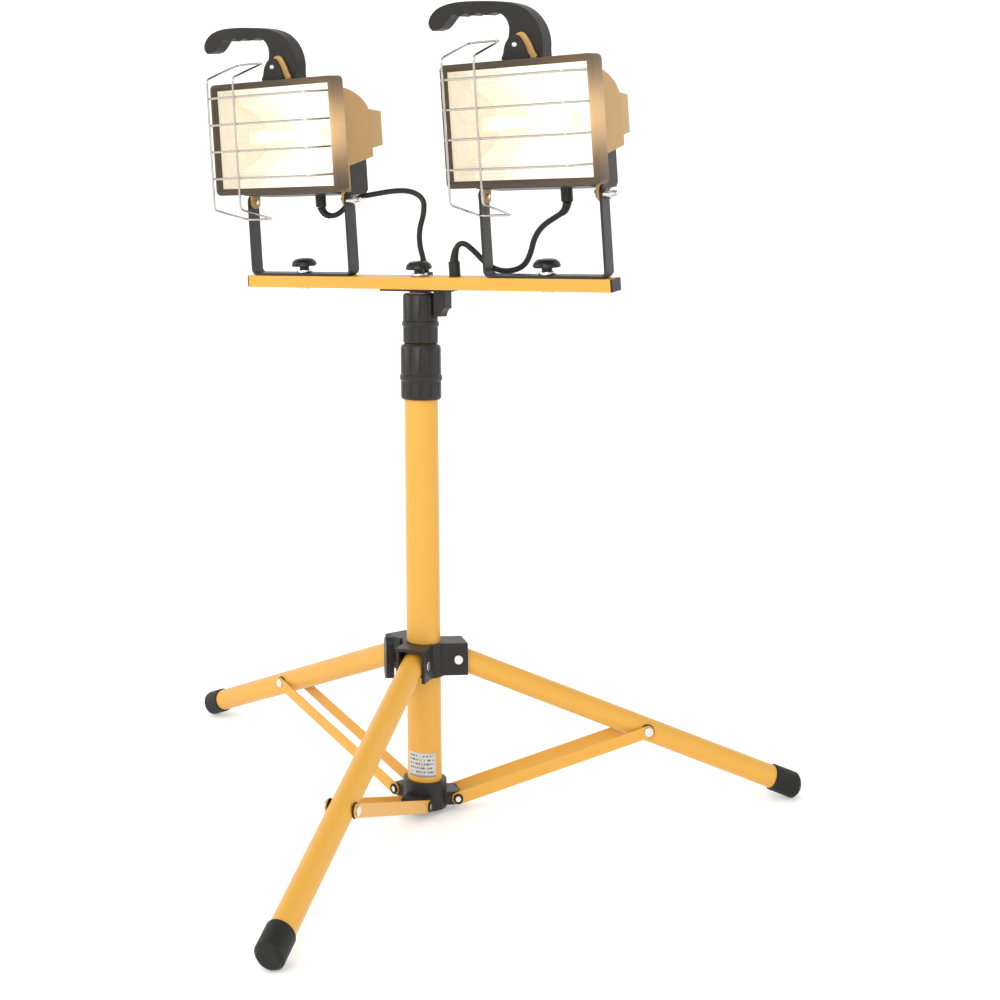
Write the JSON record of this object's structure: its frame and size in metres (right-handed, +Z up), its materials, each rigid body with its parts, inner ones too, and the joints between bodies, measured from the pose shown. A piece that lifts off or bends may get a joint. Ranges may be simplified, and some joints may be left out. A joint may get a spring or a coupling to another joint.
{
  "type": "work light",
  "caption": "Twin halogen work light on a crossbar, with wire guards, yokes and handles, on a telescoping mast with a folding tripod.",
  "frame": {"origin": "the floor under the mast, on the mast's axis", "axes": "+Z up along the mast, +X along the crossbar, the lamps face -Y"},
  "size_m": [0.7422, 0.7239, 0.8989],
  "materials": {
    "yellow_paint": "satin powder coat",
    "black_steel": "satin powder coat",
    "black_plastic": "fine moulded grain",
    "black_rubber": "matte",
    "bright_steel": "zinc plated",
    "chrome_wire": "bright",
    "clear_glass": "clear",
    "reflector": "bright, finely ribbed",
    "quartz": "clear quartz, lit",
    "ceramic": "matte",
    "label": "silvered label"
  },
  "bodies": {
    "mast": {"mast_tube": "yellow_paint", "foot_hub": "black_plastic", "mast_label": "label"},
    "collar": {"collar_casting": "black_plastic", "collar_clamp": "black_plastic", "leg_pivot_pins": "bright_steel"},
    "collar_knob": {"collar_knob": "black_plastic", "collar_bolt": "bright_steel"},
    "lower_lock": {"lower_twist_lock": "black_plastic"},
    "middle_tube": {"middle_tube": "yellow_paint"},
    "upper_lock": {"upper_twist_lock": "black_plastic"},
    "mast_head": {"inner_tube": "yellow_paint", "head_bracket": "black_steel"},
    "crossbar": {"crossbar": "yellow_paint", "crossbar_end_caps": "black_plastic", "yoke_bolts": "bright_steel", "lead_sockets": "black_plastic", "bar_lead_left": "black_rubber", "bar_lead_right": "black_rubber"},
    "centre_knob": {"centre_knob": "black_plastic"},
    "leg_front": {"leg_front": "yellow_paint", "foot_front": "black_rubber"},
    "brace_front": {"brace_bars_front": "yellow_paint", "brace_rivets_front": "bright_steel"},
    "leg_right": {"leg_right": "yellow_paint", "foot_right": "black_rubber"},
    "brace_right": {"brace_bars_right": "yellow_paint", "brace_rivets_right": "bright_steel"},
    "leg_left": {"leg_left": "yellow_paint", "foot_left": "black_rubber"},
    "brace_left": {"brace_bars_left": "yellow_paint", "brace_rivets_left": "bright_steel"},
    "yoke_left": {"yoke_left": "black_steel"},
    "yoke_knob_left": {"yoke_knob_left": "black_plastic"},
    "lamp_left": {"bezel_left": "black_steel", "glass_left": "clear_glass", "lamp_housing_left": "yellow_paint", "reflector_left": "reflector", "terminal_box_left": "black_plastic", "wire_guard_left": "chrome_wire", "carry_handle_left": "black_plastic", "halogen_tube_left": "quartz", "lamp_holders_left": "ceramic", "tilt_bolts_left": "bright_steel", "lamp_lead_left": "black_rubber"},
    "wing_nut_left": {"wing_nut_left": "bright_steel"},
    "yoke_right": {"yoke_right": "black_steel"},
    "yoke_knob_right": {"yoke_knob_right": "black_plastic"},
    "lamp_right": {"bezel_right": "black_steel", "glass_right": "clear_glass", "lamp_housing_right": "yellow_paint", "reflector_right": "reflector", "terminal_box_right": "black_plastic", "wire_guard_right": "chrome_wire", "carry_handle_right": "black_plastic", "halogen_tube_right": "quartz", "lamp_holders_right": "ceramic", "tilt_bolts_right": "bright_steel", "lamp_lead_right": "black_rubber"},
    "wing_nut_right": {"wing_nut_right": "bright_steel"}
  },
  "joints": [
    {"name": "collar_slide", "type": "slide", "parent": "mast", "child": "collar", "axis": [0, 0, 1], "range_m": [0, 0.25]},
    {"name": "leg_front_fold", "type": "hinge", "parent": "collar", "child": "leg_front", "pos_m": [0.00761, -0.03519, 0.16608], "axis": [0.9774, 0.2113, 0], "range_deg": [0, 39.52]},
    {"name": "brace_front_fold", "type": "hinge", "parent": "leg_front", "child": "brace_front", "pos_m": [0.05348, -0.24737, 0.08144], "axis": [0.9774, 0.2113, 0], "range_deg": [-82.32, 0]},
    {"name": "leg_right_fold", "type": "hinge", "parent": "collar", "child": "leg_right", "pos_m": [0.02667, 0.02418, 0.16608], "axis": [-0.6717, 0.7408, 0], "range_deg": [0, 39.52]},
    {"name": "brace_right_fold", "type": "hinge", "parent": "leg_right", "child": "brace_right", "pos_m": [0.18749, 0.17, 0.08144], "axis": [-0.6717, 0.7408, 0], "range_deg": [-82.32, 0]},
    {"name": "leg_left_fold", "type": "hinge", "parent": "collar", "child": "leg_left", "pos_m": [-0.03428, 0.011, 0.16608], "axis": [-0.3057, -0.9521, 0], "range_deg": [0, 39.52]},
    {"name": "brace_left_fold", "type": "hinge", "parent": "leg_left", "child": "brace_left", "pos_m": [-0.24097, 0.07737, 0.08144], "axis": [-0.3057, -0.9521, 0], "range_deg": [-82.32, 0]},
    {"name": "collar_knob_turn", "type": "hinge", "parent": "collar", "child": "collar_knob", "pos_m": [-0.02229, -0.02007, 0.16608], "axis": [-0.7431, -0.6691, 0], "range_deg": [-180, 180]},
    {"name": "lower_lock_turn", "type": "hinge", "parent": "mast", "child": "lower_lock", "pos_m": [0, 0, 0.48], "axis": [0, 0, 1], "range_deg": [-90, 0]},
    {"name": "middle_tube_slide", "type": "slide", "parent": "mast", "child": "middle_tube", "axis": [0, 0, 1], "range_m": [0, 0.36]},
    {"name": "upper_lock_turn", "type": "hinge", "parent": "middle_tube", "child": "upper_lock", "pos_m": [0, 0, 0.54], "axis": [0, 0, 1], "range_deg": [-90, 0]},
    {"name": "inner_tube_slide", "type": "slide", "parent": "middle_tube", "child": "mast_head", "axis": [0, 0, 1], "range_m": [0, 0.36]},
    {"name": "crossbar_swivel", "type": "hinge", "parent": "mast_head", "child": "crossbar", "pos_m": [0, 0, 0.58], "axis": [0, -0.1045, 0.9945], "range_deg": [-180, 180]},
    {"name": "centre_knob_turn", "type": "hinge", "parent": "mast_head", "child": "centre_knob", "pos_m": [0, -0.0015, 0.59422], "axis": [0, -0.1045, 0.9945], "range_deg": [-180, 180]},
    {"name": "yoke_left_swivel", "type": "hinge", "parent": "crossbar", "child": "yoke_left", "pos_m": [-0.161, -0.00146, 0.59392], "axis": [0, -0.1045, 0.9945], "range_deg": [-45, 45], "deforming": ["bar_lead_left"]},
    {"name": "yoke_knob_left_turn", "type": "hinge", "parent": "crossbar", "child": "yoke_knob_left", "pos_m": [-0.161, -0.00181, 0.5972], "axis": [0, -0.1045, 0.9945], "range_deg": [-180, 180]},
    {"name": "lamp_left_tilt", "type": "hinge", "parent": "yoke_left", "child": "lamp_left", "pos_m": [-0.161, -0.01087, 0.68343], "axis": [1, 0, 0], "range_deg": [-80, 50], "deforming": ["lamp_lead_left"]},
    {"name": "wing_nut_left_turn", "type": "hinge", "parent": "lamp_left", "child": "wing_nut_left", "pos_m": [-0.0877, -0.01087, 0.68343], "axis": [1, 0, 0], "range_deg": [-180, 180]},
    {"name": "yoke_right_swivel", "type": "hinge", "parent": "crossbar", "child": "yoke_right", "pos_m": [0.161, -0.00146, 0.59392], "axis": [0, -0.1045, 0.9945], "range_deg": [-45, 45], "deforming": ["bar_lead_right"]},
    {"name": "yoke_knob_right_turn", "type": "hinge", "parent": "crossbar", "child": "yoke_knob_right", "pos_m": [0.161, -0.00181, 0.5972], "axis": [0, -0.1045, 0.9945], "range_deg": [-180, 180]},
    {"name": "lamp_right_tilt", "type": "hinge", "parent": "yoke_right", "child": "lamp_right", "pos_m": [0.161, -0.01087, 0.68343], "axis": [1, 0, 0], "range_deg": [-80, 50], "deforming": ["lamp_lead_right"]},
    {"name": "wing_nut_right_turn", "type": "hinge", "parent": "lamp_right", "child": "wing_nut_right", "pos_m": [0.2343, -0.01087, 0.68343], "axis": [1, 0, 0], "range_deg": [-180, 180]}
  ],
  "couplings": [
    {"joint": "leg_front_fold", "follows": "collar_slide", "rad_per_m": 2.7591},
    {"joint": "brace_front_fold", "follows": "collar_slide", "rad_per_m": -5.7469},
    {"joint": "leg_right_fold", "follows": "collar_slide", "rad_per_m": 2.7591},
    {"joint": "brace_right_fold", "follows": "collar_slide", "rad_per_m": -5.7469},
    {"joint": "leg_left_fold", "follows": "collar_slide", "rad_per_m": 2.7591},
    {"joint": "brace_left_fold", "follows": "collar_slide", "rad_per_m": -5.7469}
  ]
}
